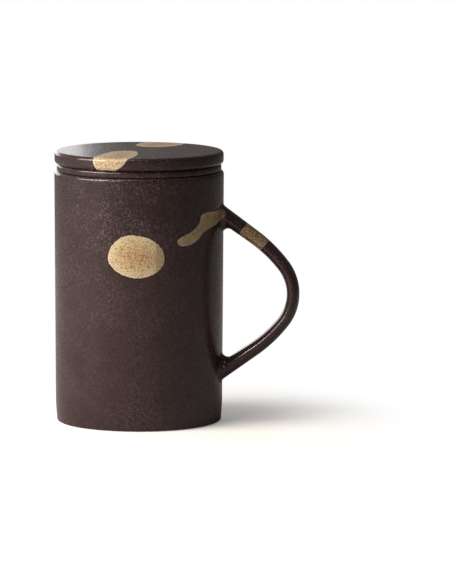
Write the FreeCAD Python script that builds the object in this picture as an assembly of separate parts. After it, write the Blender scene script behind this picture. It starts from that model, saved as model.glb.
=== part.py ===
import FreeCAD
import Part

import math
import os

# A tall stoneware tea mug with a handle, a drop-in infuser and a lift-off lid.
# Four fired clay pieces: the cup, the handle luted to it, the infuser and the lid.
# Millimetres, +Z up. The origin is the middle of the foot, on the table.
# The handle reaches along +X, and everything round turns about Z.

V = FreeCAD.Vector
UP = V(0, 0, 1)
ORIGIN = V(0, 0, 0)

# The cup's outside
RIM_RADIUS = 41.0          # at the lip
CUP_HEIGHT = 121.7         # table to the flat of the lip
WALL_FOOT_RADIUS = 40.4    # where the wall starts to turn in towards the foot
BASE_RADIUS = 39.8         # at the table, before the bottom edge is rounded
BASE_CURVE_HEIGHT = 9.0    # how far up the wall turns in
BASE_CURVE_ROUND = 90.0    # how softly it turns in
BASE_EDGE_ROUND = 0.8
LIP_OUTER_ROUND = 1.5
LIP_INNER_ROUND = 0.8

# The cup's inside
LIP_WALL = 4.0             # wall at the lip
LOW_WALL = 4.4             # wall just above the floor
FLOOR_THICKNESS = 5.0
FLOOR_ROUND = 8.0

# The foot: a ring to stand on round a shallow recess
FOOT_RING_WIDTH = 5.0
FOOT_RECESS = 1.3
FOOT_ROUND = 0.5

# The infuser, a pierced clay basket hung by its flange on the lip
BASKET_CLEARANCE = 1.3     # between the basket and the cup's mouth, all round
BASKET_DEPTH = 72.0        # lip to the basket's underside
BASKET_TAPER = 2.6         # how much narrower the basket is at its foot, in radius
BASKET_WALL = 2.6
BASKET_FLOOR = 3.0
BASKET_OUTER_ROUND = 6.0
BASKET_INNER_ROUND = 4.0
BASKET_MOUTH_ROUND = 1.2
FLANGE_SETBACK = 1.2       # the flange stops this far inside the cup's rim
FLANGE_THICKNESS = 3.4
FLANGE_TOP_ROUND = 1.2
FLANGE_LOWER_ROUND = 0.9
FLANGE_ROOT_ROUND = 0.8

# The infuser's holes
HOLE_DIAMETER = 2.4
FLOOR_HOLE_PITCH = 6.2     # ring to ring in the floor, and about the same along a ring
FLOOR_RING_GROWTH = 6      # how many more holes each ring has than the one inside it
WALL_HOLE_SPACING = 11.0   # about this far apart round the wall
WALL_ROW_PITCH = 6.0
WALL_ROWS_FROM = 11.0      # lowest row above the basket's underside
WALL_ROWS_TO = 43.0        # no row lies higher than this above the underside

# The lid, a flat disc with a locating ring below
LID_SETBACK = 0.1          # the lid stops this far inside the cup's rim
LID_THICKNESS = 6.3
LID_TOP_ROUND = 1.7
LID_LOWER_ROUND = 1.9
RING_CLEARANCE = 1.2       # between the locating ring and the basket's mouth, all round
RING_WIDTH = 3.2
RING_HEIGHT = 6.0
RING_EDGE_ROUND = 1.1
RING_ROOT_ROUND = 0.8
LID_HOLLOW = 0.8           # how far the underside rises inside the ring
LID_HOLLOW_ROUND = 1.4

# The handle's centre line: a tight turn at the tip, a gentler shoulder, then a
# straight arm to the wall, the same above and below the tip
HANDLE_REACH = 75.5        # axis of the cup to the middle of the tip
HANDLE_RAISE = 2.25        # middle of the handle above the middle of the cup's height
TIP_ROUND = 22.2
TIP_HALF_TURN = 38.3       # degrees that the tight turn takes on each side
SHOULDER_ROUND = 68.8
ARM_SLOPE = 34.9           # degrees from level
ARM_BITE = 4.0             # how far an arm runs in past the rim's radius before it is cut

# The handle's oval section, thin in the handle's own plane
TIP_THICKNESS = 6.0
ROOT_THICKNESS = 7.6
TIP_WIDTH = 10.5
ROOT_WIDTH = 12.0
SECTION_SWELL = 1.5        # power by which the section grows along the arm
ROOT_FILLET = 3.0          # clay smoothed into the corner all round each root
SECTIONS_PER_ARM = 12

# Heights that several pieces share
LIP_LEVEL = CUP_HEIGHT
HANDLE_MID_LEVEL = CUP_HEIGHT / 2 + HANDLE_RAISE
LID_SEAT_LEVEL = LIP_LEVEL + FLANGE_THICKNESS
BASKET_FOOT_LEVEL = LIP_LEVEL - BASKET_DEPTH

# Radii that several pieces share
MOUTH_RADIUS = RIM_RADIUS - LIP_WALL
BASKET_RADIUS = MOUTH_RADIUS - BASKET_CLEARANCE
BASKET_BORE = BASKET_RADIUS - BASKET_WALL
BASKET_FOOT_BORE = BASKET_BORE - BASKET_TAPER
FLANGE_RADIUS = RIM_RADIUS - FLANGE_SETBACK
RING_RADIUS = BASKET_BORE - RING_CLEARANCE


def rounded_corner(before, here, after, rounding):
    """Where a corner's arc starts, its middle and its end. It never uses up a whole side."""
    to_before = before - here
    to_after = after - here
    room = min(to_before.Length, to_after.Length) * 0.49
    to_before.normalize()
    to_after.normalize()
    half_angle = to_before.getAngle(to_after) / 2
    reach = min(rounding / math.tan(half_angle), room)
    radius = reach * math.tan(half_angle)
    inward = (to_before + to_after).normalize()
    middle = here + inward * (radius / math.sin(half_angle) - radius)
    return here + to_before * reach, middle, here + to_after * reach


def turned(corners):
    """A solid turned about Z. Its half outline runs from axis to axis through the
    (radius, height, rounding) corners. The surfaces' seams lie away from the handle."""
    points = [V(-radius, 0, height) for radius, height, _ in corners]
    edges = []
    start = points[0]
    for i in range(1, len(points) - 1):
        rounding = corners[i][2]
        arc_start, arc_middle, arc_end = rounded_corner(*points[i - 1:i + 2], rounding)
        edges.append(Part.LineSegment(start, arc_start).toShape())
        edges.append(Part.Arc(arc_start, arc_middle, arc_end).toShape())
        start = arc_end
    edges.append(Part.LineSegment(start, points[-1]).toShape())
    edges.append(Part.LineSegment(points[-1], points[0]).toShape())
    return Part.Face(Part.Wire(edges)).revolve(ORIGIN, UP, 360)


def outside_corners():
    """The cup's outer outline, from the foot up to the lip."""
    return [
        (BASE_RADIUS, 0, BASE_EDGE_ROUND),
        (WALL_FOOT_RADIUS, BASE_CURVE_HEIGHT, BASE_CURVE_ROUND),
        (RIM_RADIUS, LIP_LEVEL, LIP_OUTER_ROUND),
    ]


def cup():
    """Wall, floor and foot ring, one piece of clay."""
    recess_radius = BASE_RADIUS - FOOT_RING_WIDTH
    return turned([
        (0, FOOT_RECESS, 0),
        (recess_radius, FOOT_RECESS, FOOT_ROUND),
        (recess_radius, 0, FOOT_ROUND),
        *outside_corners(),
        (MOUTH_RADIUS, LIP_LEVEL, LIP_INNER_ROUND),
        (WALL_FOOT_RADIUS - LOW_WALL, FLOOR_THICKNESS, FLOOR_ROUND),
        (0, FLOOR_THICKNESS, 0),
    ])


def cup_envelope():
    """The cup as a solid plug with the same outside, which the handle is cut against."""
    return turned([(0, 0, 0), *outside_corners(), (0, LIP_LEVEL, 0)])


def centre_line(run):
    """Place and outward direction on the upper arm's centre line, run millimetres from
    the tip. The height is counted from the middle of the handle."""
    tip_turn = math.radians(TIP_HALF_TURN)
    full_turn = math.radians(90 - ARM_SLOPE)
    tip_length = TIP_ROUND * tip_turn
    shoulder_length = SHOULDER_ROUND * (full_turn - tip_turn)
    turn = run / TIP_ROUND
    if run > tip_length:
        turn = min(tip_turn + (run - tip_length) / SHOULDER_ROUND, full_turn)
    tip_part = min(turn, tip_turn)
    x = HANDLE_REACH - TIP_ROUND * (1 - math.cos(tip_part))
    z = TIP_ROUND * math.sin(tip_part)
    if turn > tip_turn:
        x += SHOULDER_ROUND * (math.cos(turn) - math.cos(tip_turn))
        z += SHOULDER_ROUND * (math.sin(turn) - math.sin(tip_turn))
    straight = max(run - tip_length - shoulder_length, 0)
    return x - straight * math.sin(turn), z + straight * math.cos(turn), turn


def arm_length():
    """From the tip along the centre line to the arm's end inside the wall."""
    full_turn = math.radians(90 - ARM_SLOPE)
    bend = TIP_ROUND * math.radians(TIP_HALF_TURN)
    bend += SHOULDER_ROUND * (full_turn - math.radians(TIP_HALF_TURN))
    straight_from = centre_line(bend)[0]
    straight = (straight_from - (RIM_RADIUS - ARM_BITE)) / math.sin(full_turn)
    return bend + straight


def handle_section(side, share):
    """The handle's oval, square to the centre line. Side is 1 above the tip and -1 below,
    and share is how far along the arm it lies, from 0 at the tip to 1 at the end."""
    x, z, turn = centre_line(arm_length() * share)
    swell = share ** SECTION_SWELL
    thickness = TIP_THICKNESS + (ROOT_THICKNESS - TIP_THICKNESS) * swell
    width = TIP_WIDTH + (ROOT_WIDTH - TIP_WIDTH) * swell
    centre = V(x, 0, HANDLE_MID_LEVEL + side * z)
    outward = V(math.cos(turn), 0, side * math.sin(turn))
    sideways = V(0, 1, 0)
    widest = centre + sideways * (width / 2)
    thinnest = centre + outward * (thickness / 2)
    return Part.Wire([Part.Ellipse(widest, thinnest, centre).toShape()])


def handle_loop():
    """The bare loop, lofted from the end of the lower arm round the tip to the upper."""
    steps = range(-SECTIONS_PER_ARM, SECTIONS_PER_ARM + 1)
    sections = [handle_section(1 if i > 0 else -1, abs(i) / SECTIONS_PER_ARM) for i in steps]
    return Part.makeLoft(sections, True, False)


def handle():
    """The loop with clay smoothed into the corner at both roots, cut to sit on the wall."""
    envelope = cup_envelope()
    joined = envelope.fuse(handle_loop().cut(envelope))
    seams = [edge for edge in joined.Edges if edge.isClosed()]
    roots = [edge for edge in seams if edge.CenterOfMass.x > RIM_RADIUS / 2]
    return joined.makeFillet(ROOT_FILLET, roots).cut(envelope)


def drill(start, along, length):
    """A cylinder the size of one strainer hole."""
    return Part.makeCylinder(HOLE_DIAMETER / 2, length, start, along)


def floor_drills():
    """A middle hole and rings of holes as far out as the basket's floor is flat."""
    lowest = UP * (BASKET_FOOT_LEVEL - BASKET_FLOOR)
    length = 3 * BASKET_FLOOR
    flat_radius = BASKET_FOOT_BORE - BASKET_INNER_ROUND - HOLE_DIAMETER / 2
    rings = int(flat_radius // FLOOR_HOLE_PITCH)
    drills = [drill(lowest, UP, length)]
    for ring in range(1, rings + 1):
        count = FLOOR_RING_GROWTH * ring
        for i in range(count):
            angle = 2 * math.pi * i / count
            out = V(math.cos(angle), math.sin(angle), 0)
            drills.append(drill(lowest + out * (FLOOR_HOLE_PITCH * ring), UP, length))
    return drills


def wall_drills():
    """Staggered rows of holes round the lower part of the basket's wall."""
    start_radius = BASKET_FOOT_BORE - BASKET_WALL
    length = BASKET_RADIUS + BASKET_WALL - start_radius
    rows = int((WALL_ROWS_TO - WALL_ROWS_FROM) // WALL_ROW_PITCH) + 1
    count = round(2 * math.pi * BASKET_RADIUS / WALL_HOLE_SPACING)
    drills = []
    for row in range(rows):
        level = BASKET_FOOT_LEVEL + WALL_ROWS_FROM + WALL_ROW_PITCH * row
        stagger = (row % 2) / 2
        for i in range(count):
            angle = 2 * math.pi * (i + stagger) / count
            out = V(math.cos(angle), math.sin(angle), 0)
            drills.append(drill(out * start_radius + UP * level, out, length))
    return drills


def infuser():
    """The basket and its flange, turned in one piece and then pierced."""
    basket = turned([
        (0, BASKET_FOOT_LEVEL, 0),
        (BASKET_RADIUS - BASKET_TAPER, BASKET_FOOT_LEVEL, BASKET_OUTER_ROUND),
        (BASKET_RADIUS, LIP_LEVEL, FLANGE_ROOT_ROUND),
        (FLANGE_RADIUS, LIP_LEVEL, FLANGE_LOWER_ROUND),
        (FLANGE_RADIUS, LID_SEAT_LEVEL, FLANGE_TOP_ROUND),
        (BASKET_BORE, LID_SEAT_LEVEL, BASKET_MOUTH_ROUND),
        (BASKET_FOOT_BORE, BASKET_FOOT_LEVEL + BASKET_FLOOR, BASKET_INNER_ROUND),
        (0, BASKET_FOOT_LEVEL + BASKET_FLOOR, 0),
    ])
    return basket.cut(Part.makeCompound(floor_drills() + wall_drills()))


def lid():
    """The flat lid, with the ring that keeps it centred in the basket's mouth."""
    lid_radius = RIM_RADIUS - LID_SETBACK
    ring_bore = RING_RADIUS - RING_WIDTH
    ring_foot_level = LID_SEAT_LEVEL - RING_HEIGHT
    return turned([
        (0, LID_SEAT_LEVEL + LID_THICKNESS, 0),
        (lid_radius, LID_SEAT_LEVEL + LID_THICKNESS, LID_TOP_ROUND),
        (lid_radius, LID_SEAT_LEVEL, LID_LOWER_ROUND),
        (RING_RADIUS, LID_SEAT_LEVEL, RING_ROOT_ROUND),
        (RING_RADIUS, ring_foot_level, RING_EDGE_ROUND),
        (ring_bore, ring_foot_level, RING_EDGE_ROUND),
        (ring_bore, LID_SEAT_LEVEL + LID_HOLLOW, LID_HOLLOW_ROUND),
        (0, LID_SEAT_LEVEL + LID_HOLLOW, 0),
    ])


PIECES = {
    "cup_body": cup,
    "handle": handle,
    "infuser": infuser,
    "lid": lid,
}


def main():
    os.makedirs("parts", exist_ok=True)
    for name, make in PIECES.items():
        shape = make()
        print(name, shape.isValid(), len(shape.Solids), "solid,", round(shape.Volume), "mm3")
        shape.Solids[0].exportStep(f"parts/{name}.step")


main()
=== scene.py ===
# %% [markdown]
# A stoneware tea mug with an infuser and a lid
#
# The mug is four pieces of fired clay: the cup, the handle luted to its wall, an infuser that
# hangs by its flange on the lip, and a flat lid. All four wear one glaze, a dark iron brown
# that dried satin, with a few patches of pale, speckled ash glaze brushed over it.
#
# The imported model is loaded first. It is the fixed frame that every piece here is fitted to.
# The clay's sizes are written in millimetres, and MM turns them into Blender's metres.

# %% Load the frame
import math
import bmesh
import bpy
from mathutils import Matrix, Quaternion, Vector


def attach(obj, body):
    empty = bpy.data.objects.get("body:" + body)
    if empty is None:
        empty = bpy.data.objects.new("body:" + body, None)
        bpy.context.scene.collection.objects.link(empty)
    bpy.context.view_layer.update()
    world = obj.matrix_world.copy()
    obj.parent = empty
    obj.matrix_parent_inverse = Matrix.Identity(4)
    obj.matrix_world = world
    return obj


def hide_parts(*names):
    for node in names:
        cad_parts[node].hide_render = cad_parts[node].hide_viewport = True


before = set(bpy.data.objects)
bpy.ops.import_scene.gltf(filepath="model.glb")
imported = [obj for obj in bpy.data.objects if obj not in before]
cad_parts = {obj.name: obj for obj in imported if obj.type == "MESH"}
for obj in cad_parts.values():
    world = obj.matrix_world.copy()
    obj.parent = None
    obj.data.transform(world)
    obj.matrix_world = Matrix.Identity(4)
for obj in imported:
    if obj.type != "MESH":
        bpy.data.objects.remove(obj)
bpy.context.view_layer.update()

MM = 0.001
print("pieces in the frame:", sorted(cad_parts))

# %% [markdown]
# Colours and nodes
#
# A maker matches a glaze against a chip, so colours are written here as sRGB hex, as on a
# chart. Blender's shaders work in linear light, and one function turns the one into the other.
# A second function adds any node with its settings and its links, which keeps the recipes for
# the finishes short enough to read. A third makes the empty material that a recipe starts from.


# %% Helpers for finishes
def linear(chip):
    """An sRGB hex chip such as "#3F2C28" as a linear colour with alpha."""
    parts = [int(chip[i:i + 2], 16) / 255 for i in (1, 3, 5)]
    return [p / 12.92 if p <= 0.04045 else ((p + 0.055) / 1.055) ** 2.4 for p in parts] + [1.0]


def add(tree, kind, settings=None, **inputs):
    """A new node of that kind. Settings are its own properties, and each input is set to a
    value, or linked when it is given another node's output."""
    made = tree.nodes.new(kind)
    for name, value in (settings or {}).items():
        setattr(made, name, value)
    for name, value in inputs.items():
        key = int(name[1:]) if name[0] == "i" and name[1:].isdigit() else name.replace("_", " ")
        if isinstance(value, bpy.types.NodeSocket):
            tree.links.new(value, made.inputs[key])
        else:
            made.inputs[key].default_value = value
    return made


def blank_material(name):
    """A new material and its node tree, emptied."""
    made = bpy.data.materials.new(name)
    made.use_nodes = True
    made.node_tree.nodes.clear()
    return made, made.node_tree


WHITE = (1, 1, 1, 1)
# A Mix node with this setting mixes colours: its input 6 is the first and 7 the second, and the
# result is output 2.
COLOURS = {"data_type": "RGBA"}
print("a mid grey chip in linear light:", round(linear("#808080")[0], 3))

# %% [markdown]
# The camera
#
# The mug was seen from a little above the lid with a long lens, so its sides stay almost
# parallel. The camera stands 2.5 m away, 10 degrees round towards the handle's side and 7.5
# degrees up. It looks a little past the mug, which leaves the mug left of the middle.

# %% Camera
BACK_OFF = 2.5
ROUND, UP = math.radians(10.0), math.radians(7.5)
LOOK_HEIGHT = 0.065
FOCAL_PIXELS, IMAGE_LONG_SIDE = 5155.0, 575.0
AIM_RIGHT_PIXELS, AIM_DOWN_PIXELS = 90.9, 1.1
LEAN = math.radians(0.15)
SENSOR_MM = 36.0
SEES_TO = 50.0

towards = Vector((math.sin(ROUND) * math.cos(UP), -math.cos(ROUND) * math.cos(UP), math.sin(UP)))
right = Vector((math.cos(ROUND), math.sin(ROUND), 0))
above = towards.cross(right)
middle = Vector((0, 0, LOOK_HEIGHT))
per_pixel = BACK_OFF / FOCAL_PIXELS
aim = middle + right * (AIM_RIGHT_PIXELS * per_pixel) - above * (AIM_DOWN_PIXELS * per_pixel)

lens = bpy.data.cameras.new("camera")
lens.sensor_width = SENSOR_MM
lens.lens = FOCAL_PIXELS / IMAGE_LONG_SIDE * SENSOR_MM
lens.clip_end = SEES_TO
camera = bpy.data.objects.new("camera", lens)
bpy.context.collection.objects.link(camera)
camera.location = middle + towards * BACK_OFF
level = (aim - camera.location).to_track_quat("-Z", "Y")
camera.rotation_euler = (level @ Quaternion((0, 0, 1), LEAN)).to_euler()
bpy.context.scene.camera = camera
bpy.context.scene.view_settings.view_transform = "Standard"
print("lens", round(lens.lens, 1), "mm")

# %% [markdown]
# The table
#
# The table is plain, pale, matt paper. A backdrop could be lit until it burns out to white, but
# that light would fall on the mug too. Instead only the camera sees the paper lifted, and
# fading to pure white a hand's breadth from the mug, so the mug keeps its shadow and stands on
# no visible edge. Everything else in the room sees the plain paper. From below, the camera
# looks straight through it.

# %% Table
TABLE_SIZE = 12.0
BELOW_FOOT = 0.0002
FADE_FROM, FADE_TO = 0.055, 0.14


def deselect_all():
    """Object mode with nothing selected, whatever was loaded or made before."""
    if bpy.context.mode != "OBJECT":
        bpy.ops.object.mode_set(mode="OBJECT")
    bpy.ops.object.select_all(action="DESELECT")


deselect_all()
bpy.ops.mesh.primitive_plane_add(size=TABLE_SIZE, location=(0, 0, -BELOW_FOOT))
table = bpy.context.object
table.name = "table"
print("table", TABLE_SIZE, "m wide")

# %% White paper
paper, tree = blank_material("white paper")
matt = add(tree, "ShaderNodeBsdfDiffuse", Color=(0.45, 0.43, 0.40, 1))
seen = add(tree, "ShaderNodeBsdfDiffuse", Color=(0.85, 0.79, 0.71, 1))
lift = add(tree, "ShaderNodeEmission", Color=WHITE, Strength=0.25)
lifted = add(tree, "ShaderNodeAddShader", i0=seen.outputs[0], i1=lift.outputs[0])
spot = add(tree, "ShaderNodeTexCoord").outputs["Object"]
away = add(tree, "ShaderNodeVectorMath", {"operation": "LENGTH"}, i0=spot).outputs["Value"]
fade = add(tree, "ShaderNodeMapRange", {"interpolation_type": "SMOOTHSTEP"}, Value=away,
           From_Min=FADE_FROM, From_Max=FADE_TO).outputs[0]
clear = add(tree, "ShaderNodeEmission", Color=WHITE, Strength=1.0)
faded = add(tree, "ShaderNodeMixShader", i0=fade, i1=lifted.outputs[0], i2=clear.outputs[0])
below = add(tree, "ShaderNodeNewGeometry").outputs["Backfacing"]
open_below = add(tree, "ShaderNodeMixShader", i0=below, i1=faded.outputs[0],
                 i2=add(tree, "ShaderNodeBsdfTransparent").outputs[0])
sees = add(tree, "ShaderNodeLightPath").outputs["Is Camera Ray"]
both = add(tree, "ShaderNodeMixShader", i0=sees, i1=matt.outputs[0], i2=open_below.outputs[0])
add(tree, "ShaderNodeOutputMaterial", Surface=both.outputs[0])
table.data.materials.append(paper)
print("paper nodes:", len(tree.nodes))

# %% [markdown]
# The light
#
# Satin glaze is shown by what it mirrors softly, so the lamps are broad panels and not points.
# A window at the front left makes the long sheen down the wall. A narrow strip above it draws
# the fine bright line on the lip and the flange, and an overhead panel fills in the lid. A card
# close behind on the left skims the flat of the lid and the left edge. The room itself is dim
# and glows from the left, as a white wall there would. The camera sees it plain white.

# %% Room
BEHIND_SHARE, LEFT_SHARE = 0.43, 0.9

world = bpy.data.worlds.new("pale room")
bpy.context.scene.world = world
world.use_nodes = True
tree = world.node_tree
tree.nodes.clear()
heading = add(tree, "ShaderNodeTexCoord").outputs["Generated"]
behind = Vector((-math.sin(ROUND), math.cos(ROUND), 0))
left_wall = behind * BEHIND_SHARE - right * LEFT_SHARE
facing = add(tree, "ShaderNodeVectorMath", {"operation": "DOT_PRODUCT"}, i0=heading,
             i1=left_wall).outputs["Value"]
glow = add(tree, "ShaderNodeMapRange", {"interpolation_type": "SMOOTHSTEP"}, Value=facing,
           From_Min=0.25, From_Max=0.95, To_Min=0.10, To_Max=0.60)
room = add(tree, "ShaderNodeBackground", Color=(1.0, 0.95, 0.93, 1), Strength=glow.outputs[0])
white = add(tree, "ShaderNodeBackground", Color=WHITE, Strength=1.0)
sees = add(tree, "ShaderNodeLightPath").outputs["Is Camera Ray"]
both = add(tree, "ShaderNodeMixShader", i0=sees, i1=room.outputs[0], i2=white.outputs[0])
add(tree, "ShaderNodeOutputWorld", Surface=both.outputs[0])
print("world nodes:", len(tree.nodes))


# %% Lamps
def panel(name, round_from_camera, height_angle, distance, width, height, watts):
    """A soft lamp that faces the mug. The first angle is counted from the camera, positive
    to its right. Angles are in degrees and lengths in metres."""
    turn = ROUND + math.radians(round_from_camera)
    lift = math.radians(height_angle)
    way = Vector((math.sin(turn) * math.cos(lift), -math.cos(turn) * math.cos(lift),
                  math.sin(lift)))
    light = bpy.data.lights.new(name, "AREA")
    light.shape = "RECTANGLE"
    light.size, light.size_y = width, height
    light.energy = watts
    lamp = bpy.data.objects.new(name, light)
    bpy.context.collection.objects.link(lamp)
    lamp.location = way * distance + middle
    lamp.rotation_euler = (-way).to_track_quat("-Z", "Y").to_euler()
    lamp.visible_camera = False


panel("window", -70, 22, distance=1.6, width=1.2, height=0.7, watts=24)
panel("strip above the window", -52, 34, distance=1.6, width=1.3, height=0.07, watts=18)
panel("overhead", -55, 68, distance=1.6, width=1.0, height=1.0, watts=6)
panel("card behind", -157.5, 13.4, distance=0.61, width=0.42, height=0.20, watts=0.52)

# %% [markdown]
# The dark glaze
#
# Iron-rich stoneware glaze comes out of the kiln a very dark brown, near purple. It is sprayed
# or dipped, and it dries satin because tiny crystals break up its surface, so it mirrors softly
# and shows fine, darker pits about a millimetre apart. The pits grow denser towards the lip,
# which darkens the upper wall as painted shade. One spot on the front, below the lip, has a
# stronger sandy bump, with pale grey dots over it as painted glints of the sheen.
#
# A picture of a glaze would repeat and would stretch over the handle. Noise read from the
# object's own coordinates has neither fault, and its scale is simply one over a real size.

# %% Glaze: noises at real sizes
GRAIN_SIZE = 0.9 * MM
MOTTLE_SIZE = 14 * MM
SPECK_SIZE = 0.65 * MM
SPATTER_SIZE = 0.9 * MM  # twice as coarse as the real crystals, which would blur to nothing

glaze, tree = blank_material("satin glazed stoneware")
place = add(tree, "ShaderNodeTexCoord").outputs["Object"]
grain = add(tree, "ShaderNodeTexNoise", Vector=place, Scale=1 / GRAIN_SIZE, Detail=3.0,
            Roughness=0.6).outputs["Fac"]
mottle = add(tree, "ShaderNodeTexNoise", Vector=place, Scale=1 / MOTTLE_SIZE, Detail=4.0,
             Roughness=0.6).outputs["Fac"]
specks = add(tree, "ShaderNodeTexNoise", Vector=place, Scale=1 / SPECK_SIZE, Detail=2.0,
             Roughness=0.55).outputs["Fac"]
spatter = add(tree, "ShaderNodeTexNoise", Vector=place, Scale=1 / SPATTER_SIZE, Detail=1.0,
              Roughness=0.5).outputs["Fac"]
print("noises:", len(tree.nodes) - 1)

# %% Glaze: body colour, pits and spatter
PAINTED_SHADE_FROM, PAINTED_SHADE_TO = 0.065, 0.11  # heights between which the pits grow denser, painted shade that darkens the upper wall
PIT_SPREAD = 0.24  # how gradually the glaze darkens into a pit
# The spot sits where the sheen falls. Its stronger bump is real grain, and its extra pale grey dots
# are painted glints.
GRAIN_AND_GLINT_SPOT = (-0.006, -0.041, 0.100)
SPOT_EDGE, SPOT_CORE = 0.045, 0.012  # radii where the spot fades out and where it is full
SPATTER_MOST, SPOT_PAINTED_GLINTS = 0.11, 0.32  # share of spatter all over, and the painted glints that the spot adds

tone = add(tree, "ShaderNodeMapRange", Value=mottle, From_Min=0.30, From_Max=0.70).outputs[0]
dark = add(tree, "ShaderNodeMix", COLOURS, i0=tone, i6=linear("#392627"),
           i7=linear("#433032")).outputs[2]
height = add(tree, "ShaderNodeSeparateXYZ", Vector=place).outputs["Z"]
# Painted shade: higher up the wall, more of the grain turns into dark pits.
pit_and_shade_from = add(tree, "ShaderNodeMapRange", Value=height, From_Min=PAINTED_SHADE_FROM,
               From_Max=PAINTED_SHADE_TO, To_Min=0.36, To_Max=0.45).outputs[0]
pit_and_shade_to = add(tree, "ShaderNodeMath", {"operation": "ADD"}, i0=pit_and_shade_from, i1=PIT_SPREAD).outputs[0]
pits_and_shade = add(tree, "ShaderNodeMapRange", Value=grain, From_Min=pit_and_shade_from, From_Max=pit_and_shade_to).outputs[0]
pitted_and_shaded = add(tree, "ShaderNodeMix", COLOURS, i0=pits_and_shade, i6=linear("#251816"), i7=dark).outputs[2]

off_spot = add(tree, "ShaderNodeVectorMath", {"operation": "DISTANCE"}, i0=place,
               i1=GRAIN_AND_GLINT_SPOT).outputs["Value"]
grain_and_glints = add(tree, "ShaderNodeMapRange", {"interpolation_type": "SMOOTHSTEP"}, Value=off_spot,
             From_Min=SPOT_EDGE, From_Max=SPOT_CORE).outputs[0]
most = add(tree, "ShaderNodeMath", {"operation": "MULTIPLY_ADD"}, i0=grain_and_glints, i1=SPOT_PAINTED_GLINTS,
           i2=SPATTER_MOST).outputs[0]
patchy = add(tree, "ShaderNodeMapRange", Value=mottle, From_Min=0.40, From_Max=0.62, To_Min=0.02,
             To_Max=most).outputs[0]
dots = add(tree, "ShaderNodeMapRange", Value=spatter, From_Min=0.48, From_Max=0.66,
           To_Max=patchy).outputs[0]
# Pale grey spatter dots, with more of them in the spot as painted glints of the sheen.
body_colour = add(tree, "ShaderNodeMix", COLOURS, i0=dots, i6=pitted_and_shaded,
                  i7=linear("#766462")).outputs[2]
print("nodes so far:", len(tree.nodes))

# %% [markdown]
# The ash glaze over it
#
# A patch of ash glaze is brushed over the dark one: pale tan with iron specks half a millimetre
# across, slightly raised, with a thin dark line where the two glazes met. It could be a second
# material on its own faces, but then its outline would follow the mesh in steps. Instead each
# piece carries a vertex attribute, patch, which is the distance in millimetres to the edge of
# the nearest patch, negative inside. The shader only has to compare it with zero, so the
# outline stays crisp. A second attribute says how far a patch is darkened towards the dark glaze,
# as painted shade.

# %% Glaze: the ash patches
RAGGED = 0.9  # how far the grain moves a patch's edge, all in millimetres here
CRISP = 0.10
LINE_OUTSIDE, LINE_FULL = 0.9, 0.2  # where the dark line begins, and where it is darkest
DEEPEST = -9.0

patch = add(tree, "ShaderNodeAttribute", {"attribute_name": "patch"}).outputs["Fac"]
ragged = add(tree, "ShaderNodeMath", {"operation": "MULTIPLY_ADD"}, i0=grain, i1=RAGGED,
             i2=-RAGGED / 2).outputs[0]
edge = add(tree, "ShaderNodeMath", {"operation": "ADD"}, i0=patch, i1=ragged).outputs[0]
inside = add(tree, "ShaderNodeMapRange", Value=edge, From_Min=CRISP, From_Max=-CRISP).outputs[0]
outline = add(tree, "ShaderNodeMapRange", Value=edge, From_Min=LINE_OUTSIDE,
              From_Max=LINE_FULL).outputs[0]
depth = add(tree, "ShaderNodeMapRange", Value=edge, From_Min=0.0, From_Max=DEEPEST).outputs[0]

pale_to_tan = add(tree, "ShaderNodeMapRange", Value=depth, From_Min=0.0, From_Max=0.3).outputs[0]
tan_to_brown = add(tree, "ShaderNodeMapRange", Value=depth, From_Min=0.3, From_Max=0.9).outputs[0]
shallow = add(tree, "ShaderNodeMix", COLOURS, i0=pale_to_tan, i6=linear("#D0BA98"),
              i7=linear("#CDB388")).outputs[2]
ash = add(tree, "ShaderNodeMix", COLOURS, i0=tan_to_brown, i6=shallow,
          i7=linear("#C19F73")).outputs[2]
fleck_from = add(tree, "ShaderNodeMapRange", Value=depth, To_Min=0.375, To_Max=0.425).outputs[0]
fleck_to = add(tree, "ShaderNodeMath", {"operation": "ADD"}, i0=fleck_from, i1=0.07).outputs[0]
flecks = add(tree, "ShaderNodeMapRange", Value=specks, From_Min=fleck_from,
             From_Max=fleck_to).outputs[0]
flecked = add(tree, "ShaderNodeMix", COLOURS, i0=flecks, i6=linear("#8A673F"), i7=ash).outputs[2]

# Painted shade: the second attribute darkens a patch towards the dark glaze.
patch_shade_attribute = add(tree, "ShaderNodeAttribute", {"attribute_name": "patch_shade"}).outputs["Fac"]
uneven = add(tree, "ShaderNodeMapRange", Value=grain, From_Min=0.38, From_Max=0.62, To_Min=1.3,
             To_Max=0.7).outputs[0]
patch_shade = add(tree, "ShaderNodeMath", {"operation": "MULTIPLY"}, i0=patch_shade_attribute, i1=uneven).outputs[0]
ash_colour = add(tree, "ShaderNodeMix", COLOURS, i0=patch_shade, i6=flecked,
                 i7=linear("#452716")).outputs[2]
lined = add(tree, "ShaderNodeMix", COLOURS, i0=outline, i6=body_colour,
            i7=linear("#201512")).outputs[2]
colour = add(tree, "ShaderNodeMix", COLOURS, i0=inside, i6=lined, i7=ash_colour).outputs[2]
print("nodes so far:", len(tree.nodes))

# %% [markdown]
# Satin and glassy skin
#
# Pits heal where the glaze lies level in the kiln, so the bump is weaker on upward faces. Where
# the glaze pulls thin over a rounded edge it turns glassy, and gives a fine bright line. Both
# are read from how far the surface leans back.

# %% Glaze: its surface
PIT_DEPTH = 0.14 * MM
PATCH_PROUD = 1.2  # a patch stands up by this many pit depths
WALL_BUMP, SPOT_BUMP, LEVEL_BUMP = 0.32, 0.6, 0.12
ROUGHEST, SMOOTHEST, GLASSY = 0.36, 0.16, 0.13
GLAZE_IOR = 1.5

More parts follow.
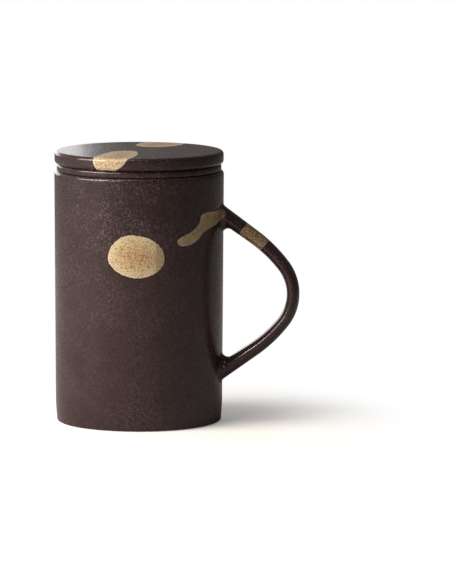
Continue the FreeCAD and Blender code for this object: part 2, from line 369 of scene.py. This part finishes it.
raised = add(tree, "ShaderNodeMath", {"operation": "MULTIPLY_ADD"}, i0=inside, i1=PATCH_PROUD,
             i2=grain).outputs[0]
normal = add(tree, "ShaderNodeNewGeometry").outputs["Normal"]
up = add(tree, "ShaderNodeSeparateXYZ", Vector=normal).outputs["Z"]
on_the_wall = add(tree, "ShaderNodeMath", {"operation": "MULTIPLY_ADD"}, i0=grain_and_glints, i1=SPOT_BUMP,
                  i2=WALL_BUMP).outputs[0]
healed = add(tree, "ShaderNodeMapRange", Value=up, From_Min=0.1, From_Max=0.4,
             To_Min=on_the_wall, To_Max=LEVEL_BUMP).outputs[0]
bumps = add(tree, "ShaderNodeBump", Height=raised, Strength=healed, Distance=PIT_DEPTH)

satin = add(tree, "ShaderNodeMapRange", Value=grain, From_Min=0.38, From_Max=0.62,
            To_Min=ROUGHEST, To_Max=SMOOTHEST).outputs[0]
past_wall = add(tree, "ShaderNodeMapRange", Value=up, From_Min=0.08, From_Max=0.25).outputs[0]
before_flat = add(tree, "ShaderNodeMapRange", Value=up, From_Min=0.95, From_Max=0.8).outputs[0]
on_edge = add(tree, "ShaderNodeMath", {"operation": "MULTIPLY"}, i0=past_wall,
              i1=before_flat).outputs[0]
sheen = add(tree, "ShaderNodeMix", i0=on_edge, i2=satin, i3=GLASSY).outputs[0]
skin = add(tree, "ShaderNodeBsdfPrincipled", Base_Color=colour, Roughness=sheen,
           Normal=bumps.outputs[0], IOR=GLAZE_IOR, Specular_Tint=(1.0, 0.84, 0.81, 1))
add(tree, "ShaderNodeOutputMaterial", Surface=skin.outputs[0])
print("glaze nodes:", len(tree.nodes))

# %% [markdown]
# Bare clay
#
# The ring a pot stands on is wiped clean of glaze before firing, or it would stick to the
# kiln's shelf. It shows the clay: a matt, sandy, dark brown stoneware. A second material on
# those few faces is enough, because a wiped edge is a sharp one.

# %% Bare stoneware
SAND_SIZE = 0.6 * MM
SAND_DEPTH = 0.1 * MM
CLAY_ROUGHNESS, CLAY_IOR = 0.85, 1.5

clay, tree = blank_material("unglazed stoneware")
place = add(tree, "ShaderNodeTexCoord").outputs["Object"]
sand = add(tree, "ShaderNodeTexNoise", Vector=place, Scale=1 / SAND_SIZE, Detail=4.0).outputs["Fac"]
tone = add(tree, "ShaderNodeMapRange", Value=sand, From_Min=0.35, From_Max=0.65).outputs[0]
sandy = add(tree, "ShaderNodeMix", COLOURS, i0=tone, i6=linear("#5A4234"),
            i7=linear("#745A48")).outputs[2]
grit = add(tree, "ShaderNodeBump", Height=sand, Strength=0.5, Distance=SAND_DEPTH)
skin = add(tree, "ShaderNodeBsdfPrincipled", Base_Color=sandy, Roughness=CLAY_ROUGHNESS,
           Normal=grit.outputs[0], IOR=CLAY_IOR)
add(tree, "ShaderNodeOutputMaterial", Surface=skin.outputs[0])
print("clay nodes:", len(tree.nodes))

# %% [markdown]
# Turning on the wheel
#
# The cup, the infuser and the lid are all turned shapes. Each could be a stack of cylinders,
# or a curve with the Screw modifier. Here each is drawn as a half outline, its corners are
# beveled round, and the outline is spun about the Z axis, which is what the potter's wheel
# does, and which gives even quads all the way round.
#
# The outline starts as a plane merged to one point. Each corner is an extrude of the last
# one. A long straight run is cut into short ones, so that a patch has points to sit on.

# %% A lathe
WHEEL_STEPS = 160
WALL_RUN, PLAIN_RUN = 1.6 * MM, 5 * MM
TOUCHING = 1e-6
MUCH_LONGER = 1.5
CORNER_SEGMENTS, SHALLOW_SEGMENTS = 8, 4
ALMOST_STRAIGHT = 1.4  # half of the corner's angle in radians, where a square corner has 0.785
ROOM_SHARE = 0.49  # a bevel may take just under half of an edge, so that two never meet


def pick(mesh, wanted):
    """Selects just the vertices that wanted(co) accepts, in edit mode."""
    bpy.ops.mesh.select_all(action="DESELECT")
    for vertex in mesh.verts:
        vertex.select = wanted(vertex.co)
    mesh.select_flush(True)


def draw_outline(name, points):
    """A chain of edges through the points, left open in edit mode."""
    deselect_all()
    bpy.ops.mesh.primitive_plane_add(size=MM, location=(0, 0, 0))
    piece = bpy.context.object
    piece.name = name
    bpy.ops.object.mode_set(mode="EDIT")
    bpy.ops.mesh.merge(type="CENTER")
    bpy.ops.transform.translate(value=points[0])
    for before, here in zip(points, points[1:]):
        bpy.ops.mesh.extrude_region_move(TRANSFORM_OT_translate={"value": here - before})
    return piece


def round_corners(piece, points, roundings):
    """Bevels each inner corner of the outline to its radius in millimetres, as far as its two
    edges have room for."""
    for before, here, after, radius in zip(points, points[1:], points[2:], roundings[1:]):
        mesh = bmesh.from_edit_mesh(piece.data)
        pick(mesh, lambda co: (co - here).length < TOUCHING)
        half = (before - here).angle(after - here) / 2
        reach = radius * MM / math.tan(half)
        room = min((before - here).length, (after - here).length) * ROOM_SHARE
        segments = SHALLOW_SEGMENTS if half > ALMOST_STRAIGHT else CORNER_SEGMENTS
        bpy.ops.mesh.bevel(offset=min(reach, room), offset_type="OFFSET", segments=segments,
                           profile=0.5, affect="VERTICES")


def cut_long_runs(piece, run):
    """Cuts each edge that is much longer than the run into pieces of about that length."""
    mesh = bmesh.from_edit_mesh(piece.data)
    for edge in [e for e in mesh.edges if e.calc_length() > run * MUCH_LONGER]:
        bpy.ops.mesh.select_all(action="DESELECT")
        edge.select = True
        mesh.select_flush(True)
        bpy.ops.mesh.subdivide(number_cuts=int(edge.calc_length() / run))
        mesh = bmesh.from_edit_mesh(piece.data)


def turned(name, corners, run=WALL_RUN):
    """A solid of revolution from (radius, height, rounding) corners in millimetres, first and
    last on the axis."""
    points = [Vector((radius, 0, height)) * MM for radius, height, _ in corners]
    piece = draw_outline(name, points)
    round_corners(piece, points, [rounding for _, _, rounding in corners])
    cut_long_runs(piece, run)
    bpy.ops.mesh.select_all(action="SELECT")
    bpy.ops.mesh.spin(steps=WHEEL_STEPS, angle=math.tau, center=(0, 0, 0), axis=(0, 0, 1))
    bpy.ops.mesh.select_all(action="SELECT")
    bpy.ops.mesh.remove_doubles(threshold=TOUCHING)
    bpy.ops.mesh.normals_make_consistent(inside=False)
    bpy.ops.object.mode_set(mode="OBJECT")
    bpy.ops.object.shade_smooth()
    piece.data.materials.append(glaze)
    print(name, len(piece.data.polygons), "faces")
    return piece


def finish(piece, body, *nodes):
    """Puts a finished piece in the place of its frame nodes."""
    piece.data.name = piece.name
    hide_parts(*nodes)
    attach(piece, body)


# %% [markdown]
# The cup
#
# The wall is 4 mm thick and tapers by half a millimetre, and it turns in softly at the foot.
# The underside is hollowed by 1.3 mm, so the cup stands on a narrow ring and doesn't rock.
# That ring stays bare clay. The inside corner is rounded so that a spoon and a sponge reach it.

# %% Cup
RIM_RADIUS, LIP_HEIGHT, LIP_WALL = 41.0, 121.7, 4.0
WALL_FOOT_RADIUS, WALL_FOOT_HEIGHT = 40.4, 9.0
BASE_RADIUS, FOOT_RING_WIDTH, FOOT_RECESS = 39.8, 5.0, 1.3
FLOOR_RADIUS, FLOOR_THICKNESS = 36.0, 5.0
BARE_BELOW = 0.25

cup = turned("cup_shell", [
    (0, FOOT_RECESS, 0),
    (BASE_RADIUS - FOOT_RING_WIDTH, FOOT_RECESS, 0.5),
    (BASE_RADIUS - FOOT_RING_WIDTH, 0, 0.5),
    (BASE_RADIUS, 0, 0.8),
    (WALL_FOOT_RADIUS, WALL_FOOT_HEIGHT, 90),
    (RIM_RADIUS, LIP_HEIGHT, 1.5),
    (RIM_RADIUS - LIP_WALL, LIP_HEIGHT, 0.8),
    (FLOOR_RADIUS, FLOOR_THICKNESS, 8),
    (0, FLOOR_THICKNESS, 0),
])
cup.data.materials.append(clay)
bare = [face for face in cup.data.polygons if face.center.z < BARE_BELOW * MM]
for face in bare:
    face.material_index = 1
print("bare faces on the foot:", len(bare))
finish(cup, "mug", "cup_body")

# %% [markdown]
# The lid
#
# A flat disc 6.3 mm thick with a ring below that drops into the infuser and keeps it from
# sliding. It has no knob: it is lifted by its edge. It could be two discs, but then the clay
# would have a seam that a real lid doesn't have.

# %% Lid
FLANGE_THICKNESS = 3.4
LID_RADIUS, LID_UNDERSIDE, LID_TOP = 40.9, LIP_HEIGHT + FLANGE_THICKNESS, 131.4
RING_OUTSIDE, RING_INSIDE, RING_FOOT = 31.9, 28.7, 119.1
LID_HOLLOW_TOP = 125.9

lid = turned("lid_disc", [
    (0, LID_TOP, 0),
    (LID_RADIUS, LID_TOP, 1.7),
    (LID_RADIUS, LID_UNDERSIDE, 1.9),
    (RING_OUTSIDE, LID_UNDERSIDE, 0.8),
    (RING_OUTSIDE, RING_FOOT, 1.1),
    (RING_INSIDE, RING_FOOT, 1.1),
    (RING_INSIDE, LID_HOLLOW_TOP, 1.4),
    (0, LID_HOLLOW_TOP, 0),
])
finish(lid, "lid", "lid")

# %% [markdown]
# Pulling the handle
#
# A handle is pulled or cast as a loop with an oval section, thin in its own plane, and luted
# to the leather-hard wall, where the maker smooths clay into the corner. It could be a curve
# with a bevel, but the clay at the roots spreads out over the round wall, which a curve can't
# do. So one ring of points is extruded along the centre line, and near the wall each point
# goes its own way: straight on to the start of the fillet, round it, and out on to the wall.
#
# The centre line is three tangent runs: a tight tip, a gentle shoulder and a straight arm. The
# half above the tip and the half below it are the same.

# %% Centre line of the handle
REACH, MID_LEVEL = 75.5, 63.1
TIP_ROUND, SHOULDER_ROUND = 22.2, 68.8
ARM_SLOPE = 34.9
TIP_TURN, FULL_TURN = math.radians(38.3), math.radians(90 - ARM_SLOPE)
TIP_RUN = TIP_ROUND * TIP_TURN
BEND = TIP_RUN + SHOULDER_ROUND * (FULL_TURN - TIP_TURN)


def centre_line(run):
    """Radius, height above the middle, and turn at that run from the tip, in millimetres."""
    turn = run / TIP_ROUND
    if turn > TIP_TURN:
        turn = min(TIP_TURN + (run - TIP_RUN) / SHOULDER_ROUND, FULL_TURN)
    tip = min(turn, TIP_TURN)
    x = REACH - TIP_ROUND * (1 - math.cos(tip))
    z = TIP_ROUND * math.sin(tip)
    if turn > TIP_TURN:
        x += SHOULDER_ROUND * (math.cos(turn) - math.cos(TIP_TURN))
        z += SHOULDER_ROUND * (math.sin(turn) - math.sin(TIP_TURN))
    straight = max(run - BEND, 0)
    return x - straight * math.sin(turn), z + straight * math.cos(turn), turn


TO_MOUTH = centre_line(BEND)[0] - (RIM_RADIUS - LIP_WALL)
ARM = BEND + TO_MOUTH / math.sin(FULL_TURN)
print("one arm:", round(ARM, 1), "mm, of which bent:", round(BEND, 1))

# %% Skin of the handle, and where it meets the wall
TIP_THICK, TIP_WIDE = 6.0, 10.5
THICKER_AT_ROOT, WIDER_AT_ROOT = 1.6, 1.5
SWELL_POWER = 1.5
FILLET = 3.0
HALVINGS = 30


def skin_point(side, run, angle):
    """A point on the handle's surface, and the way it faces. Side is 1 above the tip."""
    x, z, turn = centre_line(run)
    swell = (run / ARM) ** SWELL_POWER
    thick = (TIP_THICK + THICKER_AT_ROOT * swell) / 2
    wide = (TIP_WIDE + WIDER_AT_ROOT * swell) / 2
    out = Vector((math.cos(turn), 0, side * math.sin(turn)))
    across = Vector((0, 1, 0))
    point = Vector((x, 0, MID_LEVEL + side * z))
    point += out * (thick * math.cos(angle)) + across * (wide * math.sin(angle))
    facing = out * (math.cos(angle) / thick) + across * (math.sin(angle) / wide)
    return point, facing.normalized()


def wall_radius(height):
    """The cup's outer radius at that height, above its foot."""
    share = (height - WALL_FOOT_HEIGHT) / (LIP_HEIGHT - WALL_FOOT_HEIGHT)
    return WALL_FOOT_RADIUS + (RIM_RADIUS - WALL_FOOT_RADIUS) * share


def root(side, angle):
    """The run where a line of the handle's surface leaves for the fillet, and the arc's frame."""
    low, high = BEND, ARM
    for _ in range(HALVINGS):
        run = (low + high) / 2
        point, _ = skin_point(side, run, angle)
        if math.hypot(point.x, point.y) > wall_radius(point.z):
            low = run
        else:
            high = run
    meet, facing = skin_point(side, low, angle)
    a_step_back = skin_point(side, low - 1, angle)[0]
    back = (a_step_back - meet).normalized()
    wall = Vector((meet.x, meet.y, 0)).normalized()
    along = (facing - wall * facing.dot(wall)).normalized()
    half = back.angle(along) / 2
    return low - FILLET / math.tan(half), meet, back, along, half, wall


def fillet_point(side, angle, share):
    """A point round the fillet, from the arm at share 0 to the wall at share 1."""
    _, meet, back, along, half, wall = root(side, angle)
    inward, across = (back + along).normalized(), (along - back).normalized()
    centre = meet + inward * (FILLET / math.sin(half))
    swing = (math.pi / 2 - half) * (2 * share - 1)
    point = centre + (across * math.sin(swing) - inward * math.cos(swing)) * FILLET
    landing = meet + along * (FILLET / math.tan(half))
    short = wall_radius(landing.z) - math.hypot(landing.x, landing.y)
    return point + wall * (short * share * share)


print("the top line leaves the arm at", round(root(1, 0)[0], 1), "mm")

# %% Rings of the handle
COMMON_RUN = BEND + 4.0
COMMON_RINGS, LAST_RINGS, FILLET_RINGS = 32, 6, 10
INTO_WALL = 0.4


def arm_rings(side):
    """What to do with each ring from the tip out: a function from a point's angle to its
    place in millimetres."""
    rings = []
    for i in range(1, COMMON_RINGS + 1):
        rings.append(lambda angle, i=i: skin_point(side, COMMON_RUN * i / COMMON_RINGS, angle)[0])
    for i in range(1, LAST_RINGS):
        rings.append(lambda angle, i=i: skin_point(
            side, COMMON_RUN + (root(side, angle)[0] - COMMON_RUN) * i / LAST_RINGS, angle)[0])
    for i in range(FILLET_RINGS + 1):
        rings.append(lambda angle, i=i: fillet_point(side, angle, i / FILLET_RINGS))
    rings.append(lambda angle: fillet_point(side, angle, 1.0) - root(side, angle)[5] * INTO_WALL)
    return rings


print("rings on each arm:", len(arm_rings(1)))

# %% Extrude the handle
HANDLE_POINTS = 40
SMOOTH_UNDER = math.radians(50)

deselect_all()
bpy.ops.mesh.primitive_circle_add(vertices=HANDLE_POINTS, radius=5 * MM, fill_type="NOTHING")
handle = bpy.context.object
handle.name = "handle_loop"
bpy.ops.object.mode_set(mode="EDIT")
mesh = bmesh.from_edit_mesh(handle.data)
turn_of = mesh.verts.layers.float.new("turn")
for vertex in mesh.verts:
    vertex[turn_of] = math.atan2(vertex.co.y, vertex.co.x)
    vertex.co = skin_point(1, 0, vertex[turn_of])[0] * MM
for side in (1, -1):
    bpy.ops.mesh.select_all(action="DESELECT")
    mesh = bmesh.from_edit_mesh(handle.data)
    for edge in mesh.edges:
        if all(abs(v.co.z - MID_LEVEL * MM) < TOUCHING for v in edge.verts):
            edge.select = True
    mesh.select_flush(True)
    for ring_place in arm_rings(side):
        bpy.ops.mesh.extrude_region_move()
        mesh = bmesh.from_edit_mesh(handle.data)
        turn_of = mesh.verts.layers.float["turn"]
        for vertex in mesh.verts:
            if vertex.select:
                vertex.co = ring_place(vertex[turn_of]) * MM
    bpy.ops.mesh.edge_face_add()
bpy.ops.mesh.select_all(action="SELECT")
bpy.ops.mesh.normals_make_consistent(inside=False)
bpy.ops.object.mode_set(mode="OBJECT")
bpy.ops.object.shade_smooth_by_angle(angle=SMOOTH_UNDER)
handle.data.materials.append(glaze)
finish(handle, "mug", "handle")
print("handle", len(handle.data.polygons), "faces")

# %% [markdown]
# The infuser
#
# A basket turned in one piece with the flange it hangs by, then pierced with a 2.4 mm drill
# while it is leather hard: rings of holes in the floor and six staggered rows round the wall.
# The drills are cylinders in one mesh, and one boolean takes them all away at once. A texture
# of dots would be lighter, but it wouldn't let the light or the tea through.

# %% Infuser
FLANGE_RADIUS = 39.8
BASKET_FOOT, BASKET_FLOOR, BASKET_WALL = 49.7, 3.0, 2.6
BASKET_MOUTH_RADIUS, BASKET_FOOT_RADIUS = 35.7, 33.1

basket = turned("infuser_basket", [
    (0, BASKET_FOOT, 0),
    (BASKET_FOOT_RADIUS, BASKET_FOOT, 6),
    (BASKET_MOUTH_RADIUS, LIP_HEIGHT, 0.8),
    (FLANGE_RADIUS, LIP_HEIGHT, 0.9),
    (FLANGE_RADIUS, LID_UNDERSIDE, 1.2),
    (BASKET_MOUTH_RADIUS - BASKET_WALL, LID_UNDERSIDE, 1.2),
    (BASKET_FOOT_RADIUS - BASKET_WALL, BASKET_FOOT + BASKET_FLOOR, 4),
    (0, BASKET_FOOT + BASKET_FLOOR, 0),
], run=PLAIN_RUN)

# %% Drills for the holes
HOLE, DRILL_LENGTH, DRILL_SIDES = 2.4, 9, 18
FLOOR_RINGS, FLOOR_PITCH, RING_GROWTH = 4, 6.2, 6
FLOOR_MIDDLE = BASKET_FOOT + BASKET_FLOOR / 2
WALL_ROWS, ROW_HOLES, ROW_PITCH = 6, 20, 6
LOWEST_ROW, WALL_MIDDLE = BASKET_FOOT + 11, 33


def drill(x, y, z, rotation=(0, 0, 0)):
    """One more drill at that place in millimetres."""
    bpy.ops.mesh.primitive_cylinder_add(vertices=DRILL_SIDES, radius=HOLE / 2 * MM,
                                        depth=DRILL_LENGTH * MM, rotation=rotation,
                                        location=Vector((x, y, z)) * MM)


deselect_all()
drill(0, 0, FLOOR_MIDDLE)
drills = bpy.context.object
bpy.ops.object.transform_apply(location=True)
bpy.ops.object.mode_set(mode="EDIT")
for ring in range(1, FLOOR_RINGS + 1):
    for i in range(RING_GROWTH * ring):
        turn = math.tau * i / (RING_GROWTH * ring)
        out = FLOOR_PITCH * ring
        drill(out * math.cos(turn), out * math.sin(turn), FLOOR_MIDDLE)
for row in range(WALL_ROWS):
    for i in range(ROW_HOLES):
        turn = math.tau * (i + (row % 2) / 2) / ROW_HOLES
        drill(WALL_MIDDLE * math.cos(turn), WALL_MIDDLE * math.sin(turn),
              LOWEST_ROW + ROW_PITCH * row, rotation=(0, math.pi / 2, turn))
bpy.ops.object.mode_set(mode="OBJECT")
print("drills:", len(drills.data.polygons) // (DRILL_SIDES + 2))

# %% Pierce the basket
CRISP_OVER = math.radians(32)

deselect_all()
bpy.context.view_layer.objects.active = basket
basket.select_set(True)
pierce = basket.modifiers.new("pierce", "BOOLEAN")
pierce.operation = "DIFFERENCE"
pierce.object = drills
pierce.solver = "EXACT"
bpy.ops.object.modifier_apply(modifier="pierce")
bpy.data.objects.remove(drills)
bpy.ops.object.shade_smooth_by_angle(angle=CRISP_OVER)
print("infuser", len(basket.data.polygons), "faces")
finish(basket, "infuser", "infuser")

# %% [markdown]
# Where the ash glaze lies
#
# Each patch is an outline in millimetres, drawn on the unrolled wall or on the flat of the
# lid. It could be cut into the mesh, but a brush mark has no edge in the clay. Instead, for
# every vertex, the script works out how far it is from the outline, and the material reads
# that distance. The long brush stroke, the band on the handle and the lid's patches are
# darkened towards the dark glaze as painted shade.

# %% Distance to an outline
FAR = 20.0  # any distance well outside a patch


def shore(point, outline):
    """Distance from a point to a closed outline, negative inside."""
    x, y = point
    best = math.inf
    inside = False
    for (ax, ay), (bx, by) in zip(outline, outline[1:] + outline[:1]):
        dx, dy = bx - ax, by - ay
        t = max(0.0, min(1.0, ((x - ax) * dx + (y - ay) * dy) / (dx * dx + dy * dy)))
        best = min(best, math.hypot(x - ax - t * dx, y - ay - t * dy))
        if (ay > y) != (by > y) and x < ax + (y - ay) * dx / dy:
            inside = not inside
    return -best if inside else best


def rounded(outline, turns=2):
    """The outline with each corner cut a quarter of the way along its edges, so that it reads
    as a brush mark."""
    for _ in range(turns):
        cut = []
        for (ax, ay), (bx, by) in zip(outline, outline[1:] + outline[:1]):
            cut.append((ax * 0.75 + bx * 0.25, ay * 0.75 + by * 0.25))
            cut.append((ax * 0.25 + bx * 0.75, ay * 0.25 + by * 0.75))
        outline = cut
    return outline


def mark(piece, distance, patch_shade=lambda co: 0.0):
    """Stores the distance to the nearest patch, in millimetres, at every vertex, and how far
    the patch there is darkened towards the dark glaze, as painted shade."""
    for name, value_at in (("patch", distance), ("patch_shade", patch_shade)):
        values = [value_at(v.co / MM) for v in piece.data.vertices]
        piece.data.attributes.new(name, "FLOAT", "POINT").data.foreach_set("value", values)
        print(piece.name, name, "from", round(min(values), 1), "to", round(max(values), 1))


mark(basket, lambda co: FAR)

# %% Patches on the wall
FACING = ROUND - math.pi / 2
OUTSIDE_ONLY = 38.5
PATCHES_FROM, PATCHES_TO = 60, 118
# The stroke is darkened towards the dark glaze as painted shade.
STROKE_SHADE, STROKE_FROM_X = 0.38, 15

OVAL = rounded([(-15.9, 83.1), (-13.8, 89.5), (-8.4, 94.2), (-3, 95.1), (4.4, 93.7), (10.3, 89.9),
                (12.9, 84), (11.3, 78.6), (5.4, 74.9), (-1.5, 73.9), (-7.9, 75.3), (-13.3, 78.9)])
STROKE = rounded([(18.0, 91.6), (20.2, 88.8), (25.4, 88.8), (31.0, 91.0), (34.2, 94.4),
                  (41.5, 96.6), (48.6, 97.6), (55.6, 101.0), (57.6, 103.4), (55.0, 104.3),
                  (46.0, 103.8), (36.4, 104.2), (32.4, 103.0), (33.0, 99.4), (27.0, 95.4),
                  (21.6, 93.6)])


def on_wall(co):
    """Distance to the wall's patches, on its outside only. The wall is unrolled from the line
    that faces the camera."""
    radius = math.hypot(co.x, co.y)
    if radius < OUTSIDE_ONLY or not PATCHES_FROM < co.z < PATCHES_TO:
        return FAR
    turn = (math.atan2(co.y, co.x) - FACING + math.pi) % math.tau - math.pi
    spot = (turn * radius, co.z)
    return min(shore(spot, OVAL), shore(spot, STROKE))


mark(cup, on_wall, lambda co: STROKE_SHADE if co.x > STROKE_FROM_X else 0.0)

# %% [markdown]
# The lid's patches are drawn on a map of the lid: distance over the surface from its middle,
# out along the flat and down the side, in the direction the camera sees as right and away.

# %% Patches on the lid
# The lid's patches are darkened towards the dark glaze as painted shade.
LID_SHADE = 0.14
PATCHES_ABOVE = LID_UNDERSIDE + 0.2
AT_MIDDLE = 0.01
OVER_EDGE = rounded([(-22.5, -35.3), (-20.8, -31.0), (-18.6, -22.0), (-14.3, -9.2), (-8.8, -2.6),
                     (-2.2, -2.7), (-0.4, -10.6), (-0.8, -22.0), (-3.3, -36.0), (-5.4, -40.4),
                     (-8.3, -43.8), (-13.3, -44.8), (-17.8, -42.2), (-20.9, -42.4),
                     (-23.4, -40.0), (-23.8, -37.0)])
AT_BACK = rounded([(-2.2, 24.5), (1.1, 34.9), (4, 41), (6, 44.5), (14, 42.5), (20, 38.5),
                   (23, 33), (20.6, 24.5), (16.6, 18.8), (10, 14.6), (4.4, 14.6), (0, 17.4)])


def on_lid(co):
    """Distance to the lid's patches."""
    radius = math.hypot(co.x, co.y)
    if co.z < PATCHES_ABOVE or radius < AT_MIDDLE:
        return FAR
    over = radius + (LID_TOP - co.z)
    across = (co.x * math.cos(ROUND) + co.y * math.sin(ROUND)) / radius * over
    away = (-co.x * math.sin(ROUND) + co.y * math.cos(ROUND)) / radius * over
    return min(shore((across, away), OVER_EDGE), shore((across, away), AT_BACK))


mark(lid, on_lid, lambda co: LID_SHADE)

# %% [markdown]
# The band goes all the way round the handle's upper arm, so it needs no outline, only a stretch
# of the centre line. The stroke on the wall runs on over the handle's root.

# %% Patches on the handle
# The band is darkened towards the dark glaze as painted shade.
BAND_SHADE, BAND_MIDDLE, BAND_HALF = 0.65, 34.5, 6.7
ROOT_WITHIN = 46
LONGEST_RUN = 60


def on_handle(co):
    """Distance to the band round the handle's upper arm, counted along the centre line, or
    to the stroke where it runs on from the wall over the root."""
    if co.z < MID_LEVEL:
        return FAR

    def off_line(run):
        x, z, _ = centre_line(run)
        return math.hypot(co.x - x, co.z - MID_LEVEL - z)

    nearest = min(range(LONGEST_RUN), key=off_line)
    x, z, turn = centre_line(nearest)
    run = nearest - (co.x - x) * math.sin(turn) + (co.z - MID_LEVEL - z) * math.cos(turn)
    stroke = on_wall(co) if math.hypot(co.x, co.y) < ROOT_WITHIN else FAR
    return min(abs(run - BAND_MIDDLE) - BAND_HALF, stroke)


mark(handle, on_handle, lambda co: BAND_SHADE)
